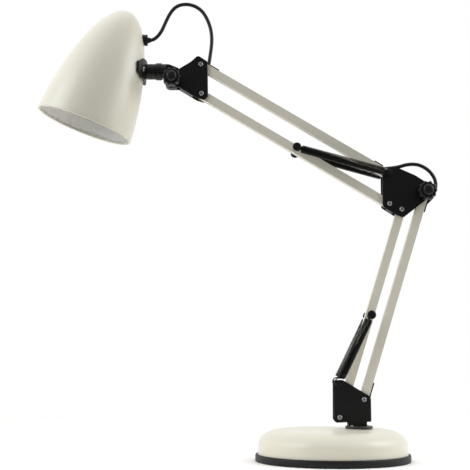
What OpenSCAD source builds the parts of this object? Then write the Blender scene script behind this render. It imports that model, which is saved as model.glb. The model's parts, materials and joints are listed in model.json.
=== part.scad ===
// Swing arm desk lamp with a round weighted base.
// +X points away from the lamp head, +Z is up, the arms work in the XZ plane,
// and the origin is the centre of the base's underside.

/* [Base] */
// Outer diameter of the base, over its trim ring
base_d = 180; // [170:2:200]
// Height of the base cover at its crown
base_h = 37; // [35:1:45]
// Height of the trim ring
ring_h = 8.5; // [6:0.5:12]
// Sheet thickness of the base cover
cover_t = 1.5; // [1:0.1:2]
// Distance of the swivel axis from the centre of the base
swivel_x = 31; // [25:1:35]
// Diameter of the swivel collar
collar_d = 32; // [30:1:34]

/* [Arms] */
// Pivot to pivot length of the lower arm
lower_len = 256; // [220:1:300]
// Lean of the lower arm from upright, in degrees
lower_lean = 17.5; // [5:0.5:25]
// Pivot to pivot length of the upper arm
upper_len = 262; // [220:1:300]
// Rise of the upper arm above level, in degrees
upper_rise = 30.9; // [15:0.1:40]
// Width of the square arm tubes
bar_w = 10; // [9:0.5:10]
// Wall of the square arm tubes
bar_wall = 1; // [0.8:0.1:1.5]

/* [Brackets] */
// Sheet thickness of the brackets
plate_t = 1.5; // [1.2:0.1:1.5]
// Clear width between a bracket's two cheeks
cheek_gap = 12; // [12:0.2:13]

/* [Springs] */
// Outer diameter of the balance springs
spring_d = 10; // [8:0.5:10]
// Distance of each lower spring pin from the lower pivot
lower_pin_at = 124; // [110:1:140]
// Distance of each upper spring pin from the elbow pivot
upper_pin_at = 129; // [110:1:140]

/* [Shade] */
// Diameter of the shade's mouth
mouth_d = 118; // [110:1:124]
// Length of the shade along its axis
shade_len = 152; // [145:1:160]
// Tilt of the shade's axis from upright, in degrees
shade_tilt = 20; // [10:1:30]
// Wall of the shade
shade_t = 1.2; // [1:0.1:2]
// Bore radius of the lamp holder's sleeve
holder_r = 13.3; // [13.3:0.1:13.4]

/* [Lead] */
// Diameter of the lead
lead_d = 4; // [3:0.5:4]

/* [Hidden] */
$fn = 48;

// Heights in the base
base_r = base_d / 2;
cover_r = base_r - 3;
shoulder_z = 18;
crown_drop = 1;
floor_t = 1.5;
collar_z = base_h + 0.2;
collar_t = 3;
bracket_z = collar_z + collar_t;
swivel_r = 5;
run_gap = 0.05;

// Pivots, each as [x, z]
front_base = [swivel_x - 23, bracket_z + 9.8];
pair_low = [28.5, 20.5];
rear_base = front_base + pair_low;
lower_dir = [sin(lower_lean), cos(lower_lean)];
front_elbow = front_base + lower_len * lower_dir;
rear_elbow = front_elbow + pair_low;
low_elbow = front_elbow + [-14.3, 6.8];
pair_up = [-0.9, 36.2];
top_elbow = low_elbow + pair_up;
upper_dir = [-cos(upper_rise), sin(upper_rise)];
low_head = low_elbow + upper_len * upper_dir;
top_head = low_head + pair_up;
tilt_at = top_head + [-34.5, -19.7];
neck_z = tilt_at[1] + 12.5;
lower_pin = front_base + lower_pin_at * lower_dir;
upper_pin = low_elbow + upper_pin_at * upper_dir;
base_hook = front_base + [-2, 38.5];

// Widths across the arms, measured from the middle plane
half_gap = cheek_gap / 2;
cheek_y = half_gap + plate_t;
screw_r = 2;
bolt_r = 2.5;
head_r = 2.95;
head_t = 2;
nut_r = 4;
nut_t = 2.7;
pin_r = 1.6;
spring_y = cheek_y + 2 + spring_d / 2;
pin_end = spring_y + spring_d / 2 + 0.5;
cap_r = 5.2;
cap_t = 2;
lead_r = lead_d / 2;
lead_sides = 10;
lead_gap = 0.8;
strip_from = 10;
strip_to = 22;
strip_t = 1.8;
neck_r = 9.4;
neck_collar_r = 10.4;
spigot_r = 4;
spigot_hole_r = 4.5;
slot_to = 20;

// Shade frame: the mouth's centre, and the axis that leans away from it
neck_s = 88;
gland_s = 125;
bulge = 1.5;
shade_axis = [sin(shade_tilt), cos(shade_tilt)];
shade_side = [cos(shade_tilt), -sin(shade_tilt)];
wall_x = tilt_at[0] - 35;
mouth_at = [wall_x, neck_z] - neck_s * shade_axis - shade_r(neck_s) * shade_side;
wall_slope = 3.5;
wall_curve = 46;
flange_t = 4.2;
gland_at = mouth_at + gland_s * shade_axis + shade_r(gland_s) * shade_side;

function shade_r(s) = mouth_d / 2 * sqrt(max(0, 1 - pow(s / shade_len, bulge)));
function unit(v) = v / norm(v);

// Fillet of radius r at the corner b of the outline a, b, c
function fillet(a, b, c, r, n = 6) =
    let (u = unit(a - b), w = unit(c - b), half = acos(u * w) / 2,
         m = b + unit(u + w) * r / sin(half),
         p = b + u * r / tan(half) - m, q = b + w * r / tan(half) - m,
         from = atan2(p[1], p[0]), turn = atan2(q[1], q[0]) - from,
         sweep = turn > 180 ? turn - 360 : turn < -180 ? turn + 360 : turn)
    [for (i = [0:n]) m + r * [cos(from + sweep * i / n), sin(from + sweep * i / n)]];

// Outline from corners given as [x, z, fillet radius]
function rounded(c) = [for (i = [0:len(c) - 1])
    let (a = c[(i + len(c) - 1) % len(c)], b = c[i], d = c[(i + 1) % len(c)])
    each fillet([a[0], a[1]], [b[0], b[1]], [d[0], d[1]], b[2])];

// Smooth curve through hand-placed route points, n steps between two points
function bend(a, b, c, d, t) = 0.5 * (2 * b + (c - a) * t + (2 * a - 5 * b + 4 * c - d) * t * t
    + (3 * b - a - 3 * c + d) * t * t * t);
function route(p, n) = let (k = len(p) - 1)
    [for (i = [0:k - 1]) for (j = [0:n - 1])
        bend(p[max(i - 1, 0)], p[i], p[i + 1], p[min(i + 2, k)], j / n), p[k]];

// Places each side's copy of the children, at the front and at the back
module both_sides() {
    children();
    mirror([0, 1, 0]) children();
}

// Round bar across the arms at the pivot p, from y0 to y1
module cross_pin(p, r, y0, y1) {
    translate([p[0], y1, p[1]]) rotate([90, 0, 0]) cylinder(r = r, h = y1 - y0);
}

// Flat sheet across the arms with the given outline, from y0 to y1
module sheet(outline, y0, y1) {
    translate([0, y1, 0]) rotate([90, 0, 0]) linear_extrude(y1 - y0) polygon(outline);
}

// Children drawn along +X are laid from the pivot p in the direction d
module along(p, d) {
    translate([p[0], 0, p[1]]) rotate([0, -atan2(d[1], d[0]), 0]) children();
}

// Round tube swept along a route of [x, z] points in the middle plane
module swept(p, r, sides) {
    k = len(p) - 1;
    rings = [for (i = [0:k])
        let (t = unit(p[min(i + 1, k)] - p[max(i - 1, 0)]), n = [-t[1], t[0]])
        for (j = [0:sides - 1]) let (a = 360 * j / sides)
            [p[i][0] + r * cos(a) * n[0], r * sin(a), p[i][1] + r * cos(a) * n[1]]];
    walls = [for (i = [0:k - 1]) for (j = [0:sides - 1]) let (m = (j + 1) % sides)
        [i * sides + j, (i + 1) * sides + j, (i + 1) * sides + m, i * sides + m]];
    start = [for (j = [0:sides - 1]) j];
    end = [for (j = [0:sides - 1]) k * sides + sides - 1 - j];
    polyhedron(points = rings, faces = concat(walls, [start], [end]));
}

// Square arm tube of the given length, with rounded cheeks round its pivots
module arm_tube(length, r0, r1) {
    inner = bar_w - 2 * bar_wall;
    difference() {
        union() {
            translate([0, -bar_w / 2, -bar_w / 2]) cube([length, bar_w, bar_w]);
            for (x = [0, length]) translate([x, bar_w / 2, 0]) rotate([90, 0, 0])
                cylinder(d = bar_w, h = bar_w);
        }
        translate([-bar_w, -inner / 2, -inner / 2])
            cube([length + 2 * bar_w, inner, inner]);
        translate([0, bar_w, 0]) rotate([90, 0, 0]) cylinder(r = r0, h = 2 * bar_w);
        translate([length, bar_w, 0]) rotate([90, 0, 0]) cylinder(r = r1, h = 2 * bar_w);
    }
}

// Opening for the lead in the outer wall, at both ends of an arm tube
module lead_slots(length) {
    for (x = [-bar_w, length - slot_to])
        translate([x, -lead_r - 0.6, -bar_w]) cube([bar_w + slot_to, lead_d + 1.2, bar_w]);
}

// Pan head screw across a bracket at the pivot p
module pivot_screw(p) {
    cross_pin(p, screw_r, -cheek_y, cheek_y + nut_t + 0.6);
    translate([p[0], -cheek_y, p[1]]) rotate([90, 0, 0]) rotate_extrude()
        polygon([[0, 0], [head_r, 0], [head_r, head_t * 0.5], [head_r * 0.75, head_t * 0.9],
                 [head_r * 0.4, head_t], [0, head_t]]);
}

// Hexagonal nut behind a bracket at the pivot p
module pivot_nut(p, hole) {
    difference() {
        translate([p[0], cheek_y + nut_t, p[1]]) rotate([90, 0, 0])
            cylinder(r = nut_r * hole / screw_r, h = nut_t, $fn = 6);
        cross_pin(p, hole, 0, 4 * cheek_y);
    }
}

// Pair of thin washers between an arm tube and a bracket's cheeks
module washer_pair(p, hole) {
    both_sides() difference() {
        cross_pin(p, 4.6, -half_gap, -bar_w / 2 - 0.1);
        cross_pin(p, hole, -cheek_y, 0);
    }
}

// Pin through an arm or bracket that a spring hooks on at each end
module spring_pin(p) {
    cross_pin(p, pin_r, -pin_end, pin_end);
    both_sides() translate([p[0], -pin_end, p[1]]) rotate([90, 0, 0]) rotate_extrude()
        polygon([[0, 0], [cap_r, 0], [cap_r, cap_t * 0.5], [cap_r * 0.8, cap_t], [0, cap_t]]);
}

// Folded bracket: two cheeks with the outline, and a web from w0 to w1
module bracket(outline, w0, w1) {
    both_sides() sheet(outline, -cheek_y, -half_gap);
    along(w0, w1 - w0) translate([0, -half_gap, 0]) cube([norm(w1 - w0), cheek_gap, plate_t]);
}

// Coil spring as a plain closed body between its two hooks
module spring_body(a, b, side) {
    gap = 5.5;
    reach = norm(b - a);
    translate([0, side * spring_y, 0]) along(a, b - a) {
        translate([gap, 0, 0]) rotate([0, 90, 0]) cylinder(d = spring_d, h = reach - 2 * gap);
        for (x = [pin_r + 0.4, reach - gap]) translate([x, 0, 0]) rotate([0, 90, 0])
            cylinder(r = 1, h = gap - pin_r - 0.4);
    }
}

// Lobed clamping knob in front of a bracket at the pivot p
module clamp_knob(p) {
    hub_y = -cheek_y - 0.3;
    lobes = 10;
    difference() {
        union() {
            cross_pin(p, 7, hub_y - 6, hub_y);
            cross_pin(p, 9.8, hub_y - 18, hub_y - 5);
            for (i = [0:lobes - 1]) let (a = 360 * (i + 0.5) / lobes)
                cross_pin(p + 9.2 * [cos(a), sin(a)], 2.2, hub_y - 17, hub_y - 6);
            translate([p[0], hub_y - 18, p[1]]) rotate([90, 0, 0]) rotate_extrude()
                polygon([[0, 0], [7, 0], [6.6, 2.5], [5, 4.2], [2.5, 5], [0, 5.2]]);
        }
        cross_pin(p, bolt_r, hub_y - 15, 0);
    }
}

// Bolt of a clamping knob, from inside the knob to behind the nut
module knob_bolt(p) {
    cross_pin(p, bolt_r, -cheek_y - 15.3, cheek_y + nut_t + 1.5);
}

// Outline of the base cover in radius and height, drawn in by t
function cover_edge(t) = concat(
    [for (a = [0:9:90]) [62 + (cover_r - 62 - t) * cos(a),
        shoulder_z + (base_h - crown_drop - shoulder_z - t) * sin(a)]],
    [for (x = [46, 31, 15, 0]) [x, base_h - t - crown_drop * x * x / 62 / 62]]);

module base_cover() {
    inner = cover_edge(cover_t);
    color("ivory") difference() {
        rotate_extrude($fn = 96) polygon(concat([[cover_r, floor_t]], cover_edge(0),
            [for (i = [len(inner) - 1:-1:0]) inner[i]], [[cover_r - cover_t, floor_t]]));
        translate([swivel_x, 0, base_h - 10]) cylinder(r = swivel_r + 2, h = 20);
        translate([0, base_r, 13]) rotate([90, 0, 0]) cylinder(r = 4, h = 10);
    }
}

module base_trim_ring() {
    color("black") rotate_extrude($fn = 96) polygon([[cover_r - 7, 0], [base_r - 0.8, 0],
        [base_r, 0.8], [base_r, ring_h - 1], [base_r - 0.4, ring_h - 0.3], [base_r - 1, ring_h],
        [cover_r, ring_h], [cover_r, floor_t], [cover_r - 7, floor_t]]);
}

module base_weight() {
    color("dimgray") difference() {
        translate([0, 0, 3]) cylinder(r = cover_r - 11, h = 13, $fn = 96);
        for (a = [90, 210, 330]) rotate(a) translate([60, 0, 0]) cylinder(r = 2.1, h = 12);
    }
}

module base_plate() {
    color("gray") difference() {
        translate([0, 0, floor_t]) cylinder(r = cover_r - cover_t, h = 1.5, $fn = 96);
        for (a = [90, 210, 330]) rotate(a) translate([60, 0, 0]) cylinder(r = 2.1, h = 5);
    }
}

module felt_pad() {
    color("dimgray") cylinder(r = cover_r - 7.3, h = 0.9, $fn = 96);
}

module base_screws() {
    color("silver") for (a = [90, 210, 330]) rotate(a) translate([60, 0, 0.9]) {
        cylinder(r = 3.5, h = 0.6);
        cylinder(r = 2, h = 11);
    }
}

module mains_gland() {
    color("black") translate([0, cover_r, 13]) rotate([-90, 0, 0]) difference() {
        union() {
            translate([0, 0, -6]) cylinder(r = 3.95, h = 8);
            translate([0, 0, 0.4]) cylinder(r = 4.5, h = 3.6);
        }
        translate([0, 0, -10]) cylinder(r = 3, h = 20);
    }
}

module swivel_bush() {
    color("black") translate([swivel_x, 0, 0]) difference() {
        union() {
            translate([0, 0, base_h - 6]) cylinder(r = swivel_r + 1.95, h = 6);
            translate([0, 0, base_h - 6]) cylinder(r = 10, h = 3.6);
        }
        cylinder(r = swivel_r + run_gap, h = 60);
    }
}

module swivel_collar() {
    color("dimgray") translate([swivel_x, 0, collar_z]) difference() {
        rotate_extrude() polygon([[0, 0], [collar_d / 2, 0], [collar_d / 2, collar_t - 0.6],
            [collar_d / 2 - 0.6, collar_t], [0, collar_t]]);
        translate([0, 0, -1]) cylinder(r = swivel_r, h = 10);
    }
}

module collar_screws() {
    color("silver") for (a = [45:90:315]) translate([swivel_x, 0, bracket_z])
        rotate(a) translate([13.4, 0, 0]) cylinder(r = 1.8, h = 1.1);
}

module swivel_tube() {
    color("gray") translate([swivel_x, 0, base_h - 15]) difference() {
        cylinder(r = swivel_r, h = bracket_z - base_h + 15);
        translate([0, 0, -1]) cylinder(r = lead_r + 0.8, h = 40);
    }
}

module swivel_nut() {
    color("silver") translate([swivel_x, 0, base_h - 12]) difference() {
        cylinder(r = 9.5, h = 5.7, $fn = 6);
        translate([0, 0, -1]) cylinder(r = swivel_r, h = 10);
    }
}

module base_bracket() {
    f = front_base;
    tab = collar_z + collar_t - f[1];
    outline = rounded([[-6.8, -2.5, 1.5], [-4, -6, 1.5], [10, -5.5, 0.6], [10, tab, 0.3],
        [31.5, tab, 0.3], [31.5, -5, 0.6], [36.5, -5, 1.5], [36.5, 23.5, 6], [4, 43, 3],
        [-6.5, 42.5, 2]]);
    color("black") difference() {
        bracket([for (p = outline) p + f], f + [10.3, tab], f + [31.2, tab]);
        for (p = [front_base, rear_base]) cross_pin(p, screw_r + 0.05, -20, 20);
        cross_pin(base_hook, pin_r, -20, 20);
        translate([swivel_x, 0, 0]) cylinder(r = lead_r + 0.8, h = 60);
    }
}

module base_pivot_screws() {
    color("silver") for (p = [front_base, rear_base]) pivot_screw(p);
}

module base_pivot_nuts() {
    color("silver") for (p = [front_base, rear_base]) pivot_nut(p, screw_r);
}

module base_pivot_washers() {
    color("white") for (p = [front_base, rear_base]) washer_pair(p, screw_r + 0.05);
}

module base_spring_pin() {
    color("black") {
        both_sides() cross_pin(base_hook, pin_r, -spring_y - 3, -half_gap);
        both_sides() cross_pin(base_hook, pin_r + 1, -spring_y - 3.8, -spring_y - 3);
    }
}

module lower_rear_bar() {
    color("ivory") along(rear_base, lower_dir) difference() {
        arm_tube(lower_len, screw_r + run_gap, bolt_r + run_gap);
        lead_slots(lower_len);
    }
}

module lower_rear_strips() {
    color("black") along(rear_base, lower_dir) edge_strips(lower_len);
}

// Edge strips that guard the lead where it enters its slots, at both ends of an arm tube
module edge_strips(length) {
    difference() {
        for (x = [strip_from, length - strip_to]) translate([x, -3.5, -bar_w / 2 - strip_t])
            cube([strip_to - strip_from, 7, strip_t]);
        lead_slots(length);
    }
}

module lead_in_lower_arm() {
    color("black") swept([rear_base + (26 + lead_gap) * lower_dir,
        rear_base + (lower_len - 25 - lead_gap) * lower_dir], lead_r, lead_sides);
}

module lead_at_base() {
    f = front_base;
    t = rear_base + 26 * lower_dir;
    out = [cos(lower_lean), -sin(lower_lean)];
    points = [t, t - 5 * lower_dir + 0.5 * out, t - 11 * lower_dir + 2.9 * out,
        t - 17 * lower_dir + 5 * out, t - 23 * lower_dir + 5.4 * out,
        t - 29 * lower_dir + 4.6 * out, f + [32, 8], f + [27.5, 0.5],
        [swivel_x, bracket_z + 3], [swivel_x, bracket_z - 8], [swivel_x, base_h - 14]];
    color("black") swept(route(points, 3), lead_r, lead_sides);
}

module lower_front_bar() {
    color("ivory") difference() {
        along(front_base, lower_dir) arm_tube(lower_len, screw_r + run_gap, screw_r + run_gap);
        cross_pin(lower_pin, pin_r, -20, 20);
    }
}

module lower_spring_pin() {
    color("black") spring_pin(lower_pin);
}

module lower_spring_front() {
    color("dimgray") spring_body(base_hook, lower_pin, -1);
}

module lower_spring_back() {
    color("dimgray") spring_body(base_hook, lower_pin, 1);
}

module upper_spring_front() {
    color("dimgray") spring_body(top_elbow, upper_pin, -1);
}

module upper_spring_back() {
    color("dimgray") spring_body(top_elbow, upper_pin, 1);
}

module elbow_bracket() {
    f = front_elbow;
    outline = rounded([[-22.5, 3.5, 3], [-7, -6.5, 4], [1.5, -10, 5], [39, 19, 5], [34, 30, 8],
        [17, 41, 15], [-2, 49.5, 8], [-13, 50.5, 4], [-22.5, 45.5, 5]]);
    color("black") difference() {
        bracket([for (p = outline) p + f], f + [-18, 0.6], f + [-10.7, -4.1]);
        for (p = [front_elbow, low_elbow]) cross_pin(p, screw_r + 0.05, -20, 20);
        cross_pin(rear_elbow, bolt_r + run_gap, -20, 20);
        cross_pin(top_elbow, pin_r, -20, 20);
    }
}

module elbow_pivot_screws() {
    color("silver") for (p = [front_elbow, low_elbow]) pivot_screw(p);
}

module elbow_pivot_nuts() {
    color("silver") for (p = [front_elbow, low_elbow]) pivot_nut(p, screw_r);
}

module elbow_pivot_washers() {
    color("white") {
        for (p = [front_elbow, low_elbow]) washer_pair(p, screw_r + 0.05);
        washer_pair(rear_elbow, bolt_r + run_gap);
        washer_pair(top_elbow, pin_r);
    }
}

module elbow_spring_pin() {
    color("black") {
        cross_pin(top_elbow, pin_r, -spring_y - 3, spring_y + 3);
        both_sides() cross_pin(top_elbow, pin_r + 1, -spring_y - 3.8, -spring_y - 3);
    }
}

module elbow_clamp_nut() {
    color("silver") pivot_nut(rear_elbow, bolt_r + run_gap);
}

module elbow_knob() {
    color("black") clamp_knob(rear_elbow);
}

module elbow_knob_bolt() {
    color("silver") knob_bolt(rear_elbow);
}

module lead_at_elbow() {
    f = front_elbow;
    t = top_elbow + 25 * upper_dir;
    r = rear_elbow - 25 * lower_dir;
    points = [t, t - 10 * upper_dir, f + [-20, 50.3], f + [-12, 51], f + [-2, 52.5],
        f + [6, 54.7], f + [14, 55.8], f + [22, 55], f + [29, 52], f + [35, 47.5],
        f + [39, 42.5], f + [41.5, 37.5], f + [42.5, 32], f + [42, 26.5], f + [40, 20],
        f + [36.5, 14.5], f + [31, 9], f + [26.5, 4.5], r];
    color("black") swept(route(points, 2), lead_r, lead_sides);
}

module upper_top_bar() {
    color("ivory") along(top_elbow, upper_dir) difference() {
        arm_tube(upper_len, pin_r + run_gap, screw_r + run_gap);
        lead_slots(upper_len);
    }
}

module upper_top_strips() {
    color("black") along(top_elbow, upper_dir) edge_strips(upper_len);
}

module lead_in_upper_arm() {
    color("black") swept([top_elbow + (25 + lead_gap) * upper_dir,
        top_elbow + (upper_len - 25 - lead_gap) * upper_dir], lead_r, lead_sides);
}

module upper_low_bar() {
    color("ivory") difference() {
        along(low_elbow, upper_dir) arm_tube(upper_len, screw_r + run_gap, screw_r + run_gap);
        cross_pin(upper_pin, pin_r, -20, 20);
    }
}

module upper_spring_pin() {
    color("black") spring_pin(upper_pin);
}

module head_bracket() {
    h = top_head;
    outline = rounded([[8, 3.6, 2.5], [-3.5, 11.3, 4], [-12, 3.3, 3], [-37, -12, 6],
        [-44, -19, 5], [-42, -28, 5], [-27, -28, 3], [-5, -41.5, 4], [4.5, -44.3, 4],
        [8.7, -40, 2.5]]);
    color("black") difference() {
        bracket([for (p = outline) p + h], h + [-25.3, -29], h + [-10, -38.4]);
        for (p = [top_head, low_head]) cross_pin(p, screw_r + 0.05, -20, 20);
        cross_pin(tilt_at, bolt_r + run_gap, -20, 20);
    }
}

module head_pivot_screws() {
    color("silver") for (p = [top_head, low_head]) pivot_screw(p);
}

module head_pivot_nuts() {
    color("silver") for (p = [top_head, low_head]) pivot_nut(p, screw_r);
}

module head_pivot_washers() {
    color("white") for (p = [top_head, low_head]) washer_pair(p, screw_r + 0.05);
}

module head_clamp_nut() {
    color("silver") pivot_nut(tilt_at, bolt_r + run_gap);
}

module head_knob() {
    color("black") clamp_knob(tilt_at);
}

module head_knob_bolt() {
    color("silver") knob_bolt(tilt_at);
}

// Cylinder along X on the neck axis, from x0 to x1 counted from the tilt pivot
module neck_cylinder(r, x0, x1) {
    translate([tilt_at[0] + x0, 0, neck_z]) rotate([0, 90, 0]) cylinder(r = r, h = x1 - x0);
}

module knuckle() {
    outline = rounded([[-8, 3, 1], [-8, 21, 2], [-3, 20, 2], [8, 15.5, 3], [9, -4, 5],
        [4, -9, 4], [-5, -9, 4], [-8.5, -4, 3]]);
    color("black") difference() {
        union() {
            sheet([for (p = outline) p + tilt_at], -half_gap + 0.3, half_gap - 0.3);
            neck_cylinder(neck_r, -13, -7.5);
            neck_cylinder(spigot_r, -33, -12);
        }
        cross_pin(tilt_at, bolt_r + run_gap, -20, 20);
    }
}

module neck_collar() {
    color("black") difference() {
        neck_cylinder(neck_collar_r, -20, -13);
        neck_cylinder(spigot_r, -40, 0);
    }
}

// Round form that the flange's outer face lies on, grown by g
module flange_form(g) {
    translate([wall_x - wall_curve, 0, neck_z]) rotate([0, wall_slope, 0])
        cylinder(r = wall_curve + flange_t + g, h = 80, center = true, $fn = 96);
}

module neck_tube() {
    color("black") difference() {
        neck_cylinder(neck_r, -35, -20.3);
        neck_cylinder(spigot_r + run_gap, -60, 0);
        flange_form(0.15);
    }
}

// Children drawn with +Z along the shade's axis, from the middle of its mouth
module in_shade() {
    translate([mouth_at[0], 0, mouth_at[1]]) rotate([0, shade_tilt, 0]) children();
}

// Solid of the shade's outer form, drawn in by t
module shade_form(t) {
    steps = 18;
    rotate_extrude($fn = 96) polygon(concat([[0, 0]], [for (i = [0:steps])
        let (s = (shade_len - t) * (1 - pow(1 - i / steps, 2)))
        [i == steps ? 0 : mouth_d / 2 * sqrt(1 - pow(s / (shade_len - t), bulge)) - t, s]]));
}

module shade_shell() {
    color("ivory") difference() {
        in_shade() difference() {
            shade_form(0);
            translate([0, 0, -0.01]) shade_form(shade_t);
        }
        neck_cylinder(spigot_hole_r, -45, -20);
        translate([gland_at[0] - 15, 0, gland_at[1]]) rotate([0, 90, 0]) cylinder(r = 4, h = 30);
    }
}

module shade_flange() {
    corners = [[13.5, 12], [6.5, 24], [-6.5, 24], [-13.5, 12]];
    color([0.15, 0.15, 0.12]) difference() {
        intersection() {
            translate([wall_x - 12, 0, neck_z]) rotate([0, 90, 0]) linear_extrude(20)
                polygon(concat(corners, [for (c = corners) -c]));
            flange_form(0);
        }
        in_shade() shade_form(0);
        neck_cylinder(spigot_hole_r, -60, 0);
    }
}

module flange_screws() {
    color("silver") for (a = [-18, 18])
        translate([wall_x - wall_curve, 0, neck_z]) rotate([0, wall_slope, 0]) rotate([0, 0, a])
            translate([wall_curve + flange_t + 0.02, 0, 0]) rotate([0, 90, 0])
                cylinder(r = 2.4, h = 1.6);
}

module lamp_holder() {
    color("black") in_shade() difference() {
        union() {
            translate([0, 0, 82]) cylinder(r = 17, h = 36);
            translate([0, 0, 118]) cylinder(r = 12, h = 10);
            translate([0, 0, 80]) cylinder(r = 19, h = 5);
        }
        translate([0, 0, 70]) cylinder(r = holder_r + 0.7, h = 44);
    }
}

module holder_sleeve() {
    color("gold") in_shade() translate([0, 0, 84]) difference() {
        cylinder(r = holder_r + 0.7, h = 28);
        translate([0, 0, -1]) cylinder(r = holder_r, h = 30);
    }
}

module holder_bracket() {
    color("silver") difference() {
        translate([wall_x - 24, -6, neck_z - 8]) cube([24, 12, 2]);
        in_shade() translate([0, 0, 60]) cylinder(r = 17, h = 80);
        difference() {
            translate([wall_x - 40, -30, neck_z - 40]) cube([60, 60, 80]);
            in_shade() shade_form(shade_t);
        }
    }
}

module lead_gland() {
    color("black") {
        difference() {
            translate([gland_at[0] - 3, 0, gland_at[1]]) rotate([0, 90, 0])
                cylinder(r = 6.9, h = 8);
            in_shade() shade_form(0);
        }
        translate([gland_at[0] - 5, 0, gland_at[1]]) rotate([0, 90, 0])
            cylinder(r = 3.9, h = 9);
        translate([gland_at[0] + 4, 0, gland_at[1]]) rotate([0, 90, 0]) rotate_extrude()
            polygon([[0, 0], [3.6, 0], [3.6, 1], [3.2, 3], [2.6, 5], [0, 5]]);
    }
}

module lead_at_head() {
    g = gland_at;
    t = top_head - 25 * upper_dir;
    points = [g + [9.9, 0.2], g + [13.2, 1.7], g + [17.2, 5], g + [20.8, 9.9], g + [24, 16],
        g + [27.4, 24], g + [31.8, 33], g + [37, 40], g + [43, 44], g + [50, 45.5], g + [57.5, 44.8],
        g + [65, 41.8], g + [71.5, 36.5], g + [76.5, 29], g + [80.5, 19.5],
        g + [82.8, 10], g + [83.5, 0], g + [82.8, -10], g + [81.5, -20], g + [80.3, -28],
        top_head + [9.6, 1.3], top_head + [13.5, -5.2], t];
    color("black") swept(route(points, 2), lead_r, lead_sides);
}

base_cover();
base_trim_ring();
base_weight();
base_plate();
felt_pad();
base_screws();
mains_gland();
swivel_bush();
swivel_collar();
collar_screws();
swivel_tube();
swivel_nut();
base_bracket();
base_pivot_screws();
base_pivot_nuts();
base_pivot_washers();
base_spring_pin();
lower_rear_bar();
lower_rear_strips();
lead_in_lower_arm();
lead_at_base();
lower_front_bar();
lower_spring_pin();
lower_spring_front();
lower_spring_back();
upper_spring_front();
upper_spring_back();
elbow_bracket();
elbow_pivot_screws();
elbow_pivot_nuts();
elbow_pivot_washers();
elbow_spring_pin();
elbow_clamp_nut();
elbow_knob();
elbow_knob_bolt();
lead_at_elbow();
upper_top_bar();
upper_top_strips();
lead_in_upper_arm();
upper_low_bar();
upper_spring_pin();
head_bracket();
head_pivot_screws();
head_pivot_nuts();
head_pivot_washers();
head_clamp_nut();
head_knob();
head_knob_bolt();
knuckle();
neck_collar();
lead_at_head();
shade_shell();
neck_tube();
shade_flange();
flange_screws();
lamp_holder();
holder_sleeve();
holder_bracket();
lead_gland();
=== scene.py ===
# %% [markdown]
# # A swing arm desk lamp
# The lamp is two parallelogram arms of square steel tube on a heavy round base, with a
# bell-shaped shade at the end. Everything that moves or fits is already there as a
# fixed frame of CAD pieces. This lesson gives those pieces their surfaces, and makes
# again the ones that a plain CAD shape can't show: coil springs, the lead,
# knobs, screws, the spun shade and the pressed base.

# %% Load the frame
import json
import math

import bmesh
import bpy
from mathutils import Matrix, Vector


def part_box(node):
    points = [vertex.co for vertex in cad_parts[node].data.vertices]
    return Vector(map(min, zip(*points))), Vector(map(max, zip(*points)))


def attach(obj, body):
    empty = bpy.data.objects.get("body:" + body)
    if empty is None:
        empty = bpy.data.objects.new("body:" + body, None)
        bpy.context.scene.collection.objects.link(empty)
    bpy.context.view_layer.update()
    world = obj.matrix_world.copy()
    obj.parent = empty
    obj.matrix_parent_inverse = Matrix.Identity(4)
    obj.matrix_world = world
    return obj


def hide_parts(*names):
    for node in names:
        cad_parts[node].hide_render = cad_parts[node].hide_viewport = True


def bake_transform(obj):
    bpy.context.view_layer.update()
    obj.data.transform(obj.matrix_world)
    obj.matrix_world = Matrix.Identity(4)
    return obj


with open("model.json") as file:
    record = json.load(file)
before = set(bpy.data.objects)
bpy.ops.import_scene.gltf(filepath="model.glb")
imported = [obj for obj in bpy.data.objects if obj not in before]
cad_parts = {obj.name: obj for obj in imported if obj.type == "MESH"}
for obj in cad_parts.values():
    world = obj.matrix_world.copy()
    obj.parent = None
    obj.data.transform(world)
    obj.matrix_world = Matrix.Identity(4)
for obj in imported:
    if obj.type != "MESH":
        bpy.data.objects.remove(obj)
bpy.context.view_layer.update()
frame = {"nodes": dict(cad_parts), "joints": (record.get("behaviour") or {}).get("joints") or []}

nodes = frame["nodes"]
pivot = {j["name"]: Vector(j["pos_m"]) for j in frame["joints"]}
MM = 0.001
print("joints:", ", ".join(pivot))

# %% [markdown]
# ## Camera
# The lamp is seen square on, from a low camera that is a little to the left of the base
# and looks slightly up. A long lens from over a metre away keeps the arms straight and
# still shows the underside of the tubes. The camera is placed from the base's centre.

# %% Camera
CAMERA_OFFSET = Vector((-0.1135, -1.184, 0.115))
CAMERA_PITCH = math.radians(7.18)
LENS_MM = 76.6

camera_data = bpy.data.cameras.new("camera")
camera_data.lens = LENS_MM
camera_data.sensor_width = 36
camera_data.dof.use_dof = False
camera = bpy.data.objects.new("camera", camera_data)
bpy.context.scene.collection.objects.link(camera)
camera.location = CAMERA_OFFSET
camera.rotation_euler = (math.pi / 2 + CAMERA_PITCH, 0, 0)
bpy.context.scene.camera = camera
print("camera stands", round(CAMERA_OFFSET.length, 2), "m from the base")

# %% [markdown]
# ## Meshes from points
# Most pieces here are turned, swept or cut from sheet, so three small tools make them:
# one that turns a list of points into a mesh, one that spins a profile round an axis,
# and one that sweeps a round section along a line. Each part is made in place.

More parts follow.
